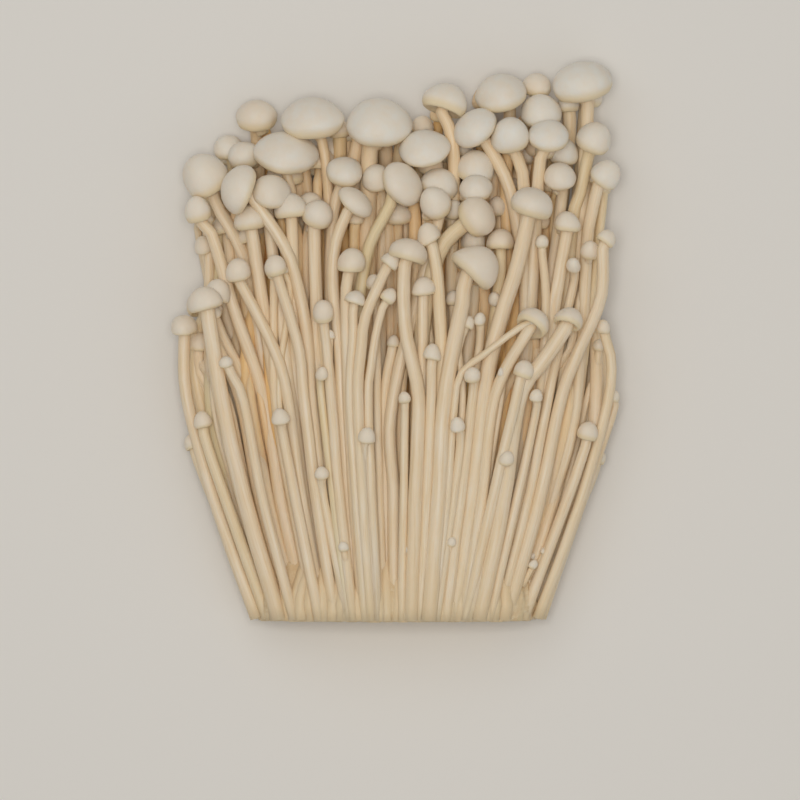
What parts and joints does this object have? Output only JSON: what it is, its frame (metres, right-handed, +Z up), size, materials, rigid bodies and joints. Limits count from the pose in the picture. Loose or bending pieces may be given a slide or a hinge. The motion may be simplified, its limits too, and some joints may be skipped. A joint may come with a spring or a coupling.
{
  "type": "enoki mushroom bunch",
  "caption": "Bunch of enoki mushrooms lying down: ivory button caps on long slender cream stems that fan out from a fused base with a cut end",
  "frame": {"origin": "middle of the bunch's outline, on the surface that it lies on", "axes": "+Y from the cut base to the caps, +X across the bunch, +Z up from the surface"},
  "size_m": [0.12, 0.1505, 0.0323],
  "materials": {
    "mushroom_flesh": "satin"
  },
  "bodies": {
    "root": {"enoki_bunch": "mushroom_flesh"}
  },
  "joints": []
}
